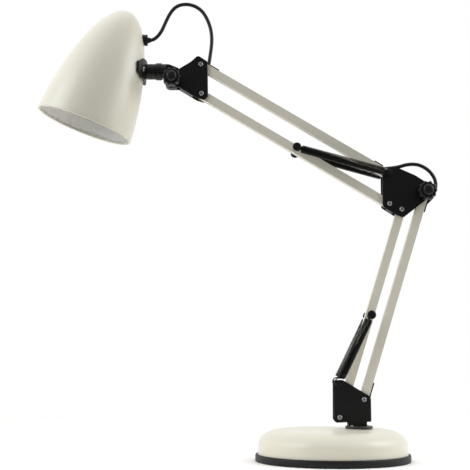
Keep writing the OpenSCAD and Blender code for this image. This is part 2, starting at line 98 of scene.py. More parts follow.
# %% Making an object from points and faces
def solid(name, points, faces, sharp=40):
    mesh = bpy.data.meshes.new(name)
    mesh.from_pydata([tuple(p) for p in points], [], faces)
    mesh.validate()
    bm = bmesh.new()
    bm.from_mesh(mesh)
    bmesh.ops.remove_doubles(bm, verts=bm.verts, dist=1e-6)
    bmesh.ops.recalc_face_normals(bm, faces=bm.faces)
    bm.to_mesh(mesh)
    bm.free()
    mesh.polygons.foreach_set("use_smooth", [True] * len(mesh.polygons))
    mesh.set_sharp_from_angle(angle=math.radians(sharp))
    obj = bpy.data.objects.new(name, mesh)
    bpy.context.scene.collection.objects.link(obj)
    return obj


# %% Joining rings of points into a skin
def skin(rings, closed_ends=True):
    """Faces between rings of equal length; the ends are closed with one face each."""
    n = len(rings[0])
    points = [p for ring in rings for p in ring]
    faces = [(i * n + j, i * n + (j + 1) % n, (i + 1) * n + (j + 1) % n, (i + 1) * n + j)
             for i in range(len(rings) - 1) for j in range(n)]
    if closed_ends:
        faces.append(tuple(reversed(range(n))))
        faces.append(tuple(range((len(rings) - 1) * n, len(rings) * n)))
    return points, faces


# %% Spinning a profile round an axis
def turned(name, profile, place, steps, sharp=40):
    """profile is (radius, distance along the axis) in mm; place puts +Z where it belongs."""
    rings = [[place @ Vector((r * MM * math.cos(a), r * MM * math.sin(a), z * MM))
              for a in (math.tau * j / steps for j in range(steps))] for r, z in profile]
    ends = profile[0][0] > 0.01 and profile[-1][0] > 0.01
    return solid(name, *skin(rings, closed_ends=ends and profile[0] != profile[-1]), sharp)


def axis_place(at, direction):
    """A frame at a point with its +Z along a direction."""
    turn = Vector(direction).to_track_quat("Z", "Y").to_matrix().to_4x4()
    return Matrix.Translation(at) @ turn


# %% Sweeping a round section along a line
def swept(name, line, radius, sides=16):
    """The frame is carried along the line without twist, so a lead's skin stays smooth."""
    rings = []
    side = None
    for i, p in enumerate(line):
        ahead = line[min(i + 1, len(line) - 1)] - line[max(i - 1, 0)]
        t = ahead.normalized()
        if side is None:
            side = t.orthogonal().normalized()
        side = (side - t * side.dot(t)).normalized()
        up = t.cross(side)
        rings.append([p + radius * (math.cos(a) * side + math.sin(a) * up)
                      for a in (math.tau * j / sides for j in range(sides))])
    return solid(name, *skin(rings))


# %% [markdown]
# ## Colours and nodes
# Paint makers and screens give colours as sRGB hex, while the shader works in linear
# light, so one function turns the one into the other. A second small function adds a
# shader node with its settings and its links, which keeps each recipe short.

# %% sRGB hex to linear
def linear(code):
    parts = [int(code[i:i + 2], 16) / 255 for i in (1, 3, 5)]
    return (*[c / 12.92 if c < 0.04045 else ((c + 0.055) / 1.055) ** 2.4 for c in parts], 1)


# %% Adding a node
def add(tree, kind, inputs=None, **settings):
    made = tree.nodes.new(kind)
    for key, value in settings.items():
        setattr(made, key, value)
    for key, value in (inputs or {}).items():
        if isinstance(value, bpy.types.NodeSocket):
            tree.links.new(value, made.inputs[key])
        else:
            made.inputs[key].default_value = value
    return made


# %% A surface to build on
def surface(name, **values):
    """A material with one shader; values are set on the shader's own sockets."""
    material = bpy.data.materials.new(name)
    material.use_nodes = True
    tree = material.node_tree
    tree.nodes.clear()
    shader = add(tree, "ShaderNodeBsdfPrincipled")
    for key, value in values.items():
        shader.inputs[key.replace("_", " ")].default_value = value
    out = add(tree, "ShaderNodeOutputMaterial")
    tree.links.new(shader.outputs["BSDF"], out.inputs["Surface"])
    place = add(tree, "ShaderNodeTexCoord").outputs["Object"]
    return material, tree, shader, place


def per_metre(size_mm):
    """Noise scale that repeats about every size_mm millimetres."""
    return 1 / (size_mm * MM)


# %% [markdown]
# ## Cream enamel
# The shade, the base cover and the tubes are steel with a stoved cream enamel. It was
# sprayed and baked, so the film has drawn itself tight over corners and dried with a
# faint orange peel, waves about 1.5 mm apart and a few microns high. The eye reads it as
# a satin sheen whose reflections have soft, slightly rippled edges. Enamel has an IOR of
# about 1.5. Each batch also varies a little in tone over some centimetres.

# %% Cream enamel recipe
def stoved_enamel(name, light, dark, roughness, peel=0.05):
    material, tree, shader, place = surface(name, IOR=1.5, Coat_Weight=0.2,
                                            Coat_Roughness=0.32)
    tone = add(tree, "ShaderNodeTexNoise", {"Vector": place, "Scale": per_metre(45),
                                            "Detail": 3.0, "Roughness": 0.5})
    colour = add(tree, "ShaderNodeMix", {"Factor": tone.outputs["Fac"], "A": linear(dark),
                                         "B": linear(light)}, data_type="RGBA")
    tree.links.new(colour.outputs["Result"], shader.inputs["Base Color"])
    handled = add(tree, "ShaderNodeTexNoise", {"Vector": place, "Scale": per_metre(18),
                                               "Detail": 4.0, "Roughness": 0.6})
    gloss = add(tree, "ShaderNodeMapRange", {"Value": handled.outputs["Fac"],
                                             "To Min": roughness - 0.05,
                                             "To Max": roughness + 0.06})
    tree.links.new(gloss.outputs["Result"], shader.inputs["Roughness"])
    waves = add(tree, "ShaderNodeTexNoise", {"Vector": place, "Scale": per_metre(1.5),
                                             "Detail": 1.0})
    bump = add(tree, "ShaderNodeBump", {"Height": waves.outputs["Fac"],
                                        "Strength": peel, "Distance": 0.0002})
    tree.links.new(bump.outputs["Normal"], shader.inputs["Normal"])
    return material


cream_enamel = stoved_enamel("cream_stoved_enamel", "#E0DCCB", "#DAD6C4", 0.36)
white_enamel = stoved_enamel("white_reflector_enamel", "#F2F1EC", "#ECEBE5", 0.45)
print("enamels:", cream_enamel.name, white_enamel.name)

# %% [markdown]
# ## Black enamel, collar grey and black plastic
# The brackets are folded steel in a thinner black enamel: darker, a bit glossier, and
# with fine rubbing marks from assembly. Knobs and neck are moulded ABS with a spark
# eroded texture, grains of about 0.4 mm, which scatters the light softly. A black that
# is never quite black keeps the shapes readable. In a white tent a glossy black turns
# grey, so most of these have their specular level, called shine here, turned down.

# %% Black finishes
def black_finish(name, light, dark, roughness, grain_mm, grain, ior=1.5, shine=0.5):
    material, tree, shader, place = surface(name, IOR=ior, Specular_IOR_Level=shine)
    tone = add(tree, "ShaderNodeTexNoise", {"Vector": place, "Scale": per_metre(6),
                                            "Detail": 5.0, "Roughness": 0.6})
    colour = add(tree, "ShaderNodeMix", {"Factor": tone.outputs["Fac"], "A": linear(dark),
                                         "B": linear(light)}, data_type="RGBA")
    tree.links.new(colour.outputs["Result"], shader.inputs["Base Color"])
    rubbed = add(tree, "ShaderNodeTexNoise", {"Vector": place, "Scale": per_metre(2.5),
                                              "Detail": 6.0, "Distortion": 1.2})
    gloss = add(tree, "ShaderNodeMapRange", {"Value": rubbed.outputs["Fac"],
                                             "To Min": roughness - 0.08,
                                             "To Max": roughness + 0.10})
    tree.links.new(gloss.outputs["Result"], shader.inputs["Roughness"])
    grains = add(tree, "ShaderNodeTexNoise", {"Vector": place, "Scale": per_metre(grain_mm),
                                              "Detail": 2.0})
    bump = add(tree, "ShaderNodeBump", {"Height": grains.outputs["Fac"], "Strength": grain,
                                        "Distance": 0.0002})
    tree.links.new(bump.outputs["Normal"], shader.inputs["Normal"])
    return material


black_enamel = black_finish("black_stoved_enamel", "#0D0D0D", "#070707", 0.36, 0.9, 0.10,
                            shine=0.3)
collar_enamel = black_finish("dark_grey_enamel", "#343432", "#272725", 0.38, 0.9, 0.10)
olive_enamel = black_finish("olive_black_enamel", "#17170F", "#0F0F0A", 0.34, 0.9, 0.10,
                            shine=0.28)
black_abs = black_finish("moulded_black_abs", "#121213", "#0B0B0C", 0.40, 0.4, 0.25,
                         ior=1.53, shine=0.28)
black_rubber = black_finish("moulded_black_rubber", "#111110", "#0B0B0A", 0.5, 0.6, 0.25,
                            ior=1.52, shine=0.3)
cord_pvc = black_finish("extruded_black_pvc", "#131313", "#0D0D0D", 0.36, 1.2, 0.12,
                        ior=1.52, shine=0.4)
print("blacks made:", black_enamel.name, olive_enamel.name, black_abs.name)

# %% [markdown]
# ## Metals
# The screws, nuts and bolts are zinc plated: a bright blue-white skin, slightly cloudy,
# with fine spots. The springs are oil-blackened wire, so they keep a metal's shine but
# reflect little. The socket's sleeve is plain brass and the base weight raw cast iron.

# %% Metal recipe
def metal(name, light, dark, roughness, spot_mm, relief=0.05):
    material, tree, shader, place = surface(name, Metallic=1.0)
    cloud = add(tree, "ShaderNodeTexNoise", {"Vector": place, "Scale": per_metre(spot_mm),
                                             "Detail": 6.0, "Roughness": 0.65})
    colour = add(tree, "ShaderNodeMix", {"Factor": cloud.outputs["Fac"], "A": linear(dark),
                                         "B": linear(light)}, data_type="RGBA")
    tree.links.new(colour.outputs["Result"], shader.inputs["Base Color"])
    gloss = add(tree, "ShaderNodeMapRange", {"Value": cloud.outputs["Fac"],
                                             "To Min": roughness + 0.08,
                                             "To Max": roughness - 0.06})
    tree.links.new(gloss.outputs["Result"], shader.inputs["Roughness"])
    bump = add(tree, "ShaderNodeBump", {"Height": cloud.outputs["Fac"], "Strength": relief,
                                        "Distance": 0.0002})
    tree.links.new(bump.outputs["Normal"], shader.inputs["Normal"])
    return material


zinc = metal("zinc_plated_steel", "#B6B8BA", "#8C8E91", 0.34, 1.5)
blued_wire = metal("oil_blackened_spring_wire", "#323130", "#1E1D1C", 0.34, 2.0)
brass = metal("plain_brass", "#D9B667", "#B48F45", 0.32, 3.0)
cast_iron = metal("raw_cast_iron", "#4A4947", "#2F2E2D", 0.62, 1.2, 0.5)
print("metals made:", zinc.name, blued_wire.name, brass.name, cast_iron.name)

# %% [markdown]
# ## Nylon and felt
# The washers between the tubes and the brackets are natural nylon, milky and a little
# translucent. Under the base lies a pressed wool felt, whose fibres are far finer than
# the render can show, so its pattern is drawn at about a millimetre.

# %% Nylon and felt
def nylon_finish():
    material, tree, shader, place = surface("natural_nylon", IOR=1.53, Subsurface_Weight=0.3,
                                            Subsurface_Scale=0.001)
    tone = add(tree, "ShaderNodeTexNoise", {"Vector": place, "Scale": per_metre(2)})
    colour = add(tree, "ShaderNodeMix", {"Factor": tone.outputs["Fac"],
                                         "A": linear("#DAD8CE"), "B": linear("#E8E6DE")},
                 data_type="RGBA")
    tree.links.new(colour.outputs["Result"], shader.inputs["Base Color"])
    gloss = add(tree, "ShaderNodeMapRange", {"Value": tone.outputs["Fac"], "To Min": 0.38,
                                             "To Max": 0.5})
    tree.links.new(gloss.outputs["Result"], shader.inputs["Roughness"])
    return material


def felt_finish():
    material, tree, shader, place = surface("pressed_grey_felt", Roughness=0.95,
                                            Sheen_Weight=0.4, Sheen_Roughness=0.6)
    fibres = add(tree, "ShaderNodeTexNoise", {"Vector": place, "Scale": per_metre(1.1),
                                              "Detail": 8.0, "Distortion": 2.5})
    colour = add(tree, "ShaderNodeMix", {"Factor": fibres.outputs["Fac"],
                                         "A": linear("#2C2C2E"), "B": linear("#4A4A4C")},
                 data_type="RGBA")
    tree.links.new(colour.outputs["Result"], shader.inputs["Base Color"])
    bump = add(tree, "ShaderNodeBump", {"Height": fibres.outputs["Fac"], "Strength": 0.7,
                                        "Distance": 0.0006})
    tree.links.new(bump.outputs["Normal"], shader.inputs["Normal"])
    return material


nylon = nylon_finish()
felt = felt_finish()
print("soft finishes:", nylon.name, felt.name)

# %% [markdown]
# ## CAD pieces that keep their shape
# Tubes, brackets, nuts and washers already have their true shape. Real sheet and tube
# never has a knife edge, though, and light catches the small radius, so each gets a
# bevel as a modifier. The mesh itself stays as it came.

# %% Painting and softening CAD pieces
def finish_cad(names, material, radius_mm, steps=2):
    for name in names:
        piece = nodes[name]
        piece.data.materials.clear()
        piece.data.materials.append(material)
        weld = piece.modifiers.new("weld", "WELD")
        weld.merge_threshold = 2e-6
        flat = piece.modifiers.new("flat", "DECIMATE")
        flat.decimate_type = "DISSOLVE"
        flat.angle_limit = math.radians(1)
        if radius_mm:
            bevel = piece.modifiers.new("bevel", "BEVEL")
            bevel.width = radius_mm * MM
            bevel.segments = steps
            bevel.limit_method = "ANGLE"
            bevel.angle_limit = math.radians(35)
            bevel.use_clamp_overlap = True
        normals = piece.modifiers.new("normals", "WEIGHTED_NORMAL")
        normals.keep_sharp = False
        normals.weight = 80


TUBES = ["lower_rear_bar", "lower_front_bar", "upper_top_bar", "upper_low_bar"]
finish_cad(TUBES, cream_enamel, 0.9, 3)
finish_cad(["base_bracket", "elbow_bracket", "head_bracket"], black_enamel, 0.35)
finish_cad(["base_spring_pin", "elbow_spring_pin", "lower_spring_pin", "upper_spring_pin"],
           black_enamel, 0.4)
finish_cad(["lower_rear_strips", "upper_top_strips", "swivel_bush", "mains_gland",
            "knuckle", "neck_collar", "neck_tube"], black_abs, 0.5)
finish_cad(["swivel_collar"], collar_enamel, 0.3)
finish_cad(["base_pivot_nuts", "elbow_pivot_nuts", "head_pivot_nuts", "elbow_clamp_nut",
            "head_clamp_nut", "swivel_nut", "swivel_tube", "base_screws", "base_plate",
            "elbow_knob_bolt", "head_knob_bolt", "holder_bracket"], zinc, 0.3)
finish_cad(["base_pivot_washers", "elbow_pivot_washers", "head_pivot_washers"], nylon, 0.15)
finish_cad(["base_weight"], cast_iron, 1.0)
finish_cad(["felt_pad"], felt, 0.3)
finish_cad(["holder_sleeve"], brass, 0.3)
finish_cad(["lead_in_lower_arm", "lead_in_upper_arm"], cord_pvc, 0)
print("CAD pieces finished:", len([n for n in nodes.values() if n.modifiers]))

# %% [markdown]
# ## The shade
# A shade like this is spun: a disc of sheet steel is pressed over a turning form, so it
# is a true surface of revolution with a smooth swelling side and no seam. Its edge is
# turned in to a small bead, which stiffens it. A lathe profile gives all of that: the
# outside and the inside are one closed line with the bead between them.

# %% Where the shade is
shade_low, shade_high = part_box("shade_shell")
SHADE_LENGTH = 152
SHADE_RADIUS = 59
SHADE_TILT = math.radians(20)
SHADE_SHEET = 1.2
neck_height = pivot["shade_turn"].z
shade_axis = Vector((math.sin(SHADE_TILT), 0, math.cos(SHADE_TILT)))
shade_side = Vector((math.cos(SHADE_TILT), 0, -math.sin(SHADE_TILT)))


def shade_radius(along):
    """The shade's outer radius in mm, at a distance in mm from its mouth."""
    return SHADE_RADIUS * math.sqrt(max(0.0, 1 - (along / SHADE_LENGTH) ** 1.5))


NECK_ALONG = 88
NECK_REACH = 35
wall_x = pivot["head_tilt"].x - NECK_REACH * MM
mouth = (Vector((wall_x, 0, neck_height)) - NECK_ALONG * MM * shade_axis
         - shade_radius(NECK_ALONG) * MM * shade_side)
in_shade = Matrix.Translation(mouth) @ Matrix.Rotation(SHADE_TILT, 4, "Y")
print("mouth centre in mm:", [round(v / MM, 1) for v in mouth])

# %% Spinning the shade
STEPS = 56
along = [SHADE_LENGTH * (1 - (1 - i / STEPS) ** 2) for i in range(STEPS + 1)]
outside = [(shade_radius(s), s) for s in along[1:]]
inner_length = SHADE_LENGTH - SHADE_SHEET
inside = [(max(0.0, shade_radius(s * SHADE_LENGTH / inner_length) - SHADE_SHEET), s)
          for s in (inner_length * (1 - (1 - i / STEPS) ** 2) for i in range(STEPS, 0, -1))]
BEAD = 1.4
bead = [(SHADE_RADIUS - BEAD - 0.1 + BEAD * math.cos(a), BEAD + BEAD * math.sin(a))
        for a in (math.radians(100 + 20 * k) for k in range(14))]
# The bead takes the place of the first points of both walls, so those are left out.
inside = [(r, s) for r, s in inside if s > 2.2 * BEAD]
outside = [(r, s) for r, s in outside if s > 1.2 * BEAD]
profile = inside + [(SHADE_RADIUS - SHADE_SHEET, 2.1 * BEAD)] + bead + outside
shade = turned("shade_spun", profile, in_shade, steps=160, sharp=60)
shade.data.materials.append(cream_enamel)
shade.data.materials.append(white_enamel)
inner_faces = 0
for face in shade.data.polygons:
    x, y, height = (in_shade.inverted() @ face.center) / MM
    within = math.hypot(x, y) < shade_radius(height) - SHADE_SHEET * 0.5
    if within and 2.05 * BEAD < height < inner_length + 0.3:
        face.material_index = 1
        inner_faces += 1
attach(shade, "shade")
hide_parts("shade_shell")
print("shade faces:", len(shade.data.polygons), "inside:", inner_faces)

# %% [markdown]
# ## Flange, screws and gland
# The neck is fixed to the shade with a pressed plate that follows its curve: an oblong
# with cut corners. It is made as a grid that is laid on the shade's own surface and then
# given its thickness. The lead enters higher up, through a moulded gland.

# %% Laying the flange on the shade
FLANGE_HALF = (13.5, 24.0)
FLANGE_CUT = (6.5, 12.0)
FLANGE_TAIL = -11.6
FLANGE_SHEET = 4.0
FLANGE_GAP = 0.05


def on_shade(y, z, lift):
    """The point on the shade's neck side at y across and z up from the neck, in mm."""
    level = neck_height + z * MM
    s = NECK_ALONG + z
    for _ in range(12):  # s settles where the surface has the wanted height
        r = math.sqrt(max(1.0, shade_radius(s) ** 2 - y * y)) * MM
        at = mouth + s * MM * shade_axis + r * shade_side
        s += (level - at.z) / MM
    centre_line = mouth + s * MM * shade_axis
    out = (at + Vector((0, y * MM, 0)) - centre_line).normalized()
    return at + Vector((0, y * MM, 0)) + out * lift * MM


def flange_width(z):
    """Half width of the flange at a height from its middle, in mm."""
    over = max(0.0, abs(z) - FLANGE_CUT[0]) / (FLANGE_HALF[0] - FLANGE_CUT[0])
    return FLANGE_HALF[1] - over * (FLANGE_HALF[1] - FLANGE_CUT[1])


ROWS, COLUMNS = 18, 24
points, faces = [], []
for lift in (FLANGE_GAP, FLANGE_SHEET):
    for i in range(ROWS + 1):
        z = FLANGE_TAIL + (FLANGE_HALF[0] - FLANGE_TAIL) * i / ROWS
        for j in range(COLUMNS + 1):
            points.append(on_shade(flange_width(z) * (2 * j / COLUMNS - 1), z, lift))
row = COLUMNS + 1
back = (ROWS + 1) * row
for i in range(ROWS):
    for j in range(COLUMNS):
        a = i * row + j
        faces.append((a, a + 1, a + row + 1, a + row))
        faces.append((back + a, back + a + row, back + a + row + 1, back + a + 1))
rim = ([i for i in range(COLUMNS)] + [i * row + COLUMNS for i in range(ROWS)]
       + [ROWS * row + j for j in range(COLUMNS, 0, -1)] + [i * row for i in range(ROWS, 0, -1)])
for a, b in zip(rim, rim[1:] + rim[:1]):
    faces.append((a, b, back + b, back + a))
flange = solid("shade_flange_plate", points, faces, 35)
edge = flange.modifiers.new("edge", "BEVEL")
edge.width, edge.segments, edge.limit_method = 0.9 * MM, 3, "ANGLE"
edge.angle_limit = math.radians(45)
flange.data.materials.append(olive_enamel)
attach(flange, "shade")
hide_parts("shade_flange")
print("flange points:", len(points))

# %% [markdown]
# ## Screws
# All screws are pan heads with a cross recess. One function makes a head as a polar grid:
# the dome is a formula of the radius, and inside the cross the points are pushed down.

# %% A pan head with a cross recess
CROSS_WIDTH, CROSS_REACH, CROSS_DEPTH = 0.2, 0.68, 0.6
DOME_DROP, EDGE_START, EDGE_HEIGHT = 0.55, 0.98, 0.25


def pan_head(name, at, out, radius, height, turn):
    """The dome, its edge and the cross are given in shares of the radius and height."""
    rings, steps = 14, 48
    place = axis_place(at, out)
    points, faces = [], []
    for i in range(rings + 1):
        share = i / rings
        for j in range(steps):
            a = math.tau * j / steps
            r = radius * share
            x, y = r * math.cos(a + turn), r * math.sin(a + turn)
            lift = height * (1 - DOME_DROP * share ** 4 if share < EDGE_START
                             else EDGE_HEIGHT)
            near, far = sorted((abs(x), abs(y)))
            if near < CROSS_WIDTH * radius and far < CROSS_REACH * radius:
                lift -= CROSS_DEPTH * height
            points.append(place @ (Vector((r * math.cos(a), r * math.sin(a), lift)) * MM))
    base = [place @ (Vector((radius * math.cos(a), radius * math.sin(a), 0)) * MM)
            for a in (math.tau * j / steps for j in range(steps))]
    points += base
    for i in range(rings + 1):
        for j in range(steps):
            k = (j + 1) % steps
            faces.append((i * steps + j, i * steps + k, (i + 1) * steps + k,
                          (i + 1) * steps + j))
    faces.append(tuple((rings + 1) * steps + j for j in range(steps)))
    return solid(name, points, faces, 30)


def joined(name, objects):
    """One object out of several, keeping their places."""
    mesh = bpy.data.meshes.new(name)
    bm = bmesh.new()
    for o in objects:
        bm.from_mesh(o.data)
        bpy.data.objects.remove(o)
    bm.to_mesh(mesh)
    bm.free()
    obj = bpy.data.objects.new(name, mesh)
    bpy.context.scene.collection.objects.link(obj)
    return obj


# %% Screws at the pivots
CHEEK = 7.5
HEAD = (2.95, 2.0)
SHANK, SHANK_LENGTH, LEAD_IN = 2.0, 2 * CHEEK + 3.3, 0.4
FRONT = Vector((0, -1, 0))
lower_span = pivot["elbow_level"] - pivot["lower_arm_lean"]
upper_span = pivot["head_level"] - pivot["upper_arm_lift"]
front_elbow = pivot["lower_front_follow"] + lower_span
low_head = pivot["upper_low_follow"] + upper_span


def pivot_screws(name, places, body, node):
    """The crosses of a pair are turned differently, as tightened screws come to rest."""
    shank = [(0.0, 0.0), (SHANK, 0.0), (SHANK, SHANK_LENGTH - LEAD_IN),
             (SHANK - LEAD_IN, SHANK_LENGTH), (0.0, SHANK_LENGTH)]
    made = []
    for i, p in enumerate(places):
        face = p + FRONT * CHEEK * MM
        made.append(pan_head("head", face, FRONT, *HEAD, 0.4 + i))
        made.append(turned("shank", shank, axis_place(face, -FRONT), 32))
    screws = joined(name, made)
    screws.data.materials.append(zinc)
    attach(screws, body)
    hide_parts(node)


pivot_screws("base_pan_screws", [pivot["lower_front_follow"], pivot["lower_arm_lean"]],
             "turntable", "base_pivot_screws")
pivot_screws("elbow_pan_screws", [front_elbow, pivot["upper_low_follow"]], "elbow",
             "elbow_pivot_screws")
pivot_screws("head_pan_screws", [pivot["head_level"], low_head], "head",
             "head_pivot_screws")
print("arm spans in mm:", round(lower_span.length / MM), round(upper_span.length / MM))

# %% Small screws on the collar and the flange
COLLAR_SCREW_CIRCLE = 13.4
FLANGE_SCREW_ACROSS = 15
low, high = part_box("collar_screws")
centre = (low + high) / 2
reach = COLLAR_SCREW_CIRCLE * MM
small = joined("collar_pan_screws", [
    pan_head("head", Vector((centre.x + reach * math.cos(a), reach * math.sin(a), low.z)),
             (0, 0, 1), 1.8, 1.1, a)
    for a in (math.radians(45 + 90 * k) for k in range(4))])
small.data.materials.append(zinc)
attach(small, "turntable")
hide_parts("collar_screws")

heads = []
for side in (-1, 1):
    at = on_shade(FLANGE_SCREW_ACROSS * side, 0, FLANGE_SHEET)
    out = at - on_shade(FLANGE_SCREW_ACROSS * side, 0, 0)
    heads.append(pan_head("head", at, out, 2.6, 1.6, side))
small = joined("flange_pan_screws", heads)
small.data.materials.append(zinc)
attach(small, "shade")
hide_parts("flange_screws")
print("screws made")

# %% [markdown]
# ## Clamping knobs
# The elbow and the head are clamped by moulded knobs with ten round lobes, a smooth
# hub behind them and a domed boss in front. The lobes are a cosine added to the radius,
# and they swell and fade along the knob, so no edge is sharp.

# %% A lobed knob
LOBES = 10
LOBE_DEPTH = 0.95
KNOB_GAP = 0.3


def clamp_knob(name, at, body, node):
    """Each section is a radius, a depth from the knob's back and a share of the lobes."""
    steps = 128
    sections = [(5.4, 0, 0), (6.8, 0.0, 0), (7.0, 0.4, 0), (7.0, 5.2, 0), (9.0, 5.6, 0.1),
                (9.9, 6.4, 0.7), (10.4, 7.6, 1.0), (10.4, 15.4, 1.0), (10.1, 16.8, 0.7),
                (9.3, 17.6, 0.25), (8.2, 17.9, 0.0), (7.2, 17.5, 0), (6.6, 18.6, 0),
                (6.5, 20.0, 0), (6.0, 21.4, 0), (5.0, 22.4, 0), (3.2, 23.0, 0), (0, 23.2, 0)]
    place = axis_place(at + FRONT * (CHEEK + KNOB_GAP) * MM, FRONT)
    rings = []
    for radius, depth, lobe in sections:
        ring = []
        for a in (math.tau * j / steps for j in range(steps)):
            r = radius + lobe * LOBE_DEPTH * math.cos(LOBES * a)
            ring.append(place @ (Vector((r * math.cos(a), r * math.sin(a), depth)) * MM))
        rings.append(ring)
    points, faces = skin(rings, closed_ends=False)
    faces.append(tuple(reversed(range(steps))))
    knob = solid(name, points, faces, 50)
    knob.data.materials.append(black_abs)
    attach(knob, body)
    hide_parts(node)


clamp_knob("elbow_lobed_knob", pivot["elbow_level"], "elbow_clamp", "elbow_knob")
clamp_knob("head_lobed_knob", pivot["head_tilt"], "head_clamp", "head_knob")
print("knobs made")

# %% [markdown]
# ## Balance springs
# Each arm hangs on a pair of extension springs. They are wound closely from wire of
# about 1.4 mm, so at rest the turns almost touch, and each end is bent out into a full
# loop that hooks over a pin. The wire's line is computed turn by turn, then swept.

# %% Winding a spring
SPRING_RADIUS = 4.3
WIRE = 0.68
SPRING_SIDE = 14.5
PIN_RADIUS = 1.6
BIG_LOOP, SMALL_LOOP = 4.7, 3.5
LOOP_SWEEP, LOOP_STEPS = 300, 25
TURN_STEPS, TURN_GAP = 20, 0.12
FADE_STEPS = 14


def wound_spring(name, hook, pin, side, hook_loop, node):
    hook = hook + Vector((0, side * SPRING_SIDE, 0)) * MM
    pin = pin + Vector((0, side * SPRING_SIDE, 0)) * MM
    axis = (pin - hook).normalized()
    across = Vector((0, 1, 0))
    up = axis.cross(across).normalized()
    reach = (pin - hook).length / MM
    off_pin = PIN_RADIUS + WIRE
    start = 2 * hook_loop - off_pin + 0.5
    end = reach - 2 * SMALL_LOOP + off_pin - 0.5
    turns = round((end - start) / (2 * WIRE + TURN_GAP))
    line = []
    for k in range(LOOP_STEPS + 1):
        a = math.radians(-120 + LOOP_SWEEP * k / LOOP_STEPS)
        line.append(hook + (axis * (hook_loop - off_pin - hook_loop * math.cos(a))
                            + up * hook_loop * math.sin(a)) * MM)
    steps = turns * TURN_STEPS
    for k in range(steps + 1):
        a = math.tau * k / TURN_STEPS
        swell = min(1.0, k / FADE_STEPS, (steps - k) / FADE_STEPS)
        r = SPRING_RADIUS * (0.25 + 0.75 * swell)
        line.append(hook + (axis * (start + (end - start) * k / steps)
                            + up * r * math.cos(a) + across * r * math.sin(a)) * MM)
    for k in range(LOOP_STEPS + 1):
        a = math.radians(180 - LOOP_SWEEP * k / LOOP_STEPS)
        line.append(pin + (axis * (off_pin - SMALL_LOOP + SMALL_LOOP * math.cos(a))
                           + up * SMALL_LOOP * math.sin(a)) * MM)
    spring = swept(name, line, WIRE * MM, 8)
    spring.data.materials.append(blued_wire)
    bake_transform(spring)
    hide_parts(node)
    return turns


hook_low, hook_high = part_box("base_spring_pin")
pin_low, pin_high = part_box("lower_spring_pin")
lower_hook, lower_pin = (hook_low + hook_high) / 2, (pin_low + pin_high) / 2
pin_low, pin_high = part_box("upper_spring_pin")
upper_pin = (pin_low + pin_high) / 2
for side, word in ((-1, "front"), (1, "back")):
    turns = wound_spring(f"lower_coil_{word}", lower_hook, lower_pin, side, BIG_LOOP,
                         f"lower_spring_{word}")
    print("lower spring turns:", turns)
    turns = wound_spring(f"upper_coil_{word}", pivot["upper_arm_lift"], upper_pin, side,
                         SMALL_LOOP, f"upper_spring_{word}")
    print("upper spring turns:", turns)

# %% [markdown]
# ## The lead
# A round lead with a PVC jacket, a little over 4 mm thick, runs from the shade to the base.
# It passes through both arms, and there the frame's own pieces show it.
# It stands in a springy loop over the head and in another round the elbow, so that the
# joints can move. Its route is a list of given points, and a smooth curve runs
# through them. Each loop crosses more than one joint, so it is made in stretches that
# meet where the lead follows one body.

# %% A smooth curve through route points
def curve_through(points, steps):
    line = []
    for i in range(len(points) - 1):
        a, b = points[max(i - 1, 0)], points[i]
        c, d = points[i + 1], points[min(i + 2, len(points) - 1)]
        for k in range(steps):
            t = k / steps
            line.append(0.5 * (2 * b + (c - a) * t + (2 * a - 5 * b + 4 * c - d) * t * t
                               + (3 * b - a - 3 * c + d) * t * t * t))
    line.append(points[-1])
    return line


def route(origin, offsets):
    return [origin + Vector((x, 0, z)) * MM for x, z in offsets]


LEAD_RADIUS = 2.2
lower_way = lower_span.normalized()
upper_way = upper_span.normalized()

# %% The three routes
gland_low, gland_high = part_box("lead_gland")
GLAND_TAIL = 9
gland = Vector((gland_high.x - GLAND_TAIL * MM, 0, (gland_low.z + gland_high.z) / 2))
head_pivot = pivot["head_level"]
head_route = route(gland, [
    (7.5, 0), (9.9, 0.3), (13.2, 1.7), (17.2, 5), (20.8, 9.9), (24, 16), (27.4, 24),
    (31.8, 33), (37, 40), (43, 44),
    (50, 45.5), (57.5, 44.8), (65, 41.8), (71.5, 36.5), (76.5, 29), (80.5, 19.5),
    (82.8, 10), (83.5, 0), (82.8, -10), (81.5, -20), (80.3, -28)])
head_route += route(head_pivot, [(9.6, 1.3), (13.5, -5.2)])
IN_TUBE = 25
head_route.append(head_pivot - IN_TUBE * MM * upper_way)

top_elbow, rear_elbow = pivot["upper_arm_lift"], pivot["elbow_level"]
arm_end = top_elbow + IN_TUBE * MM * upper_way
elbow_route = [arm_end, arm_end - 10 * MM * upper_way]
elbow_route += route(front_elbow, [
    (-20, 50.3), (-12, 51), (-2, 52.5), (6, 54.7), (14, 55.8), (22, 55), (29, 52),
    (35, 47.5), (39, 42.5), (41.5, 37.5), (42.5, 32), (42, 26.5), (40, 20), (36.5, 14.5),
    (31, 9), (26.5, 4.5)])
elbow_route.append(rear_elbow - IN_TUBE * MM * lower_way)

front_base, rear_base = pivot["lower_front_follow"], pivot["lower_arm_lean"]
arm_foot = rear_base + 26 * MM * lower_way
arm_out = Vector((lower_way.z, 0, -lower_way.x))
base_route = [arm_foot + (out * arm_out - down * lower_way) * MM for down, out in (
    (0, 0), (5, 0.5), (11, 2.9), (17, 5), (23, 5.4), (29, 4.6))]
base_route += route(front_base, [(32, 8), (27.5, 0.5), (23, -6.8), (23, -17.8)])
print("route points:", len(head_route), len(elbow_route), len(base_route))

# %% Laying the lead
def lead_stretch(name, line):
    piece = swept(name, line, LEAD_RADIUS * MM)
    piece.data.materials.append(cord_pvc)
    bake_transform(piece)
    return piece


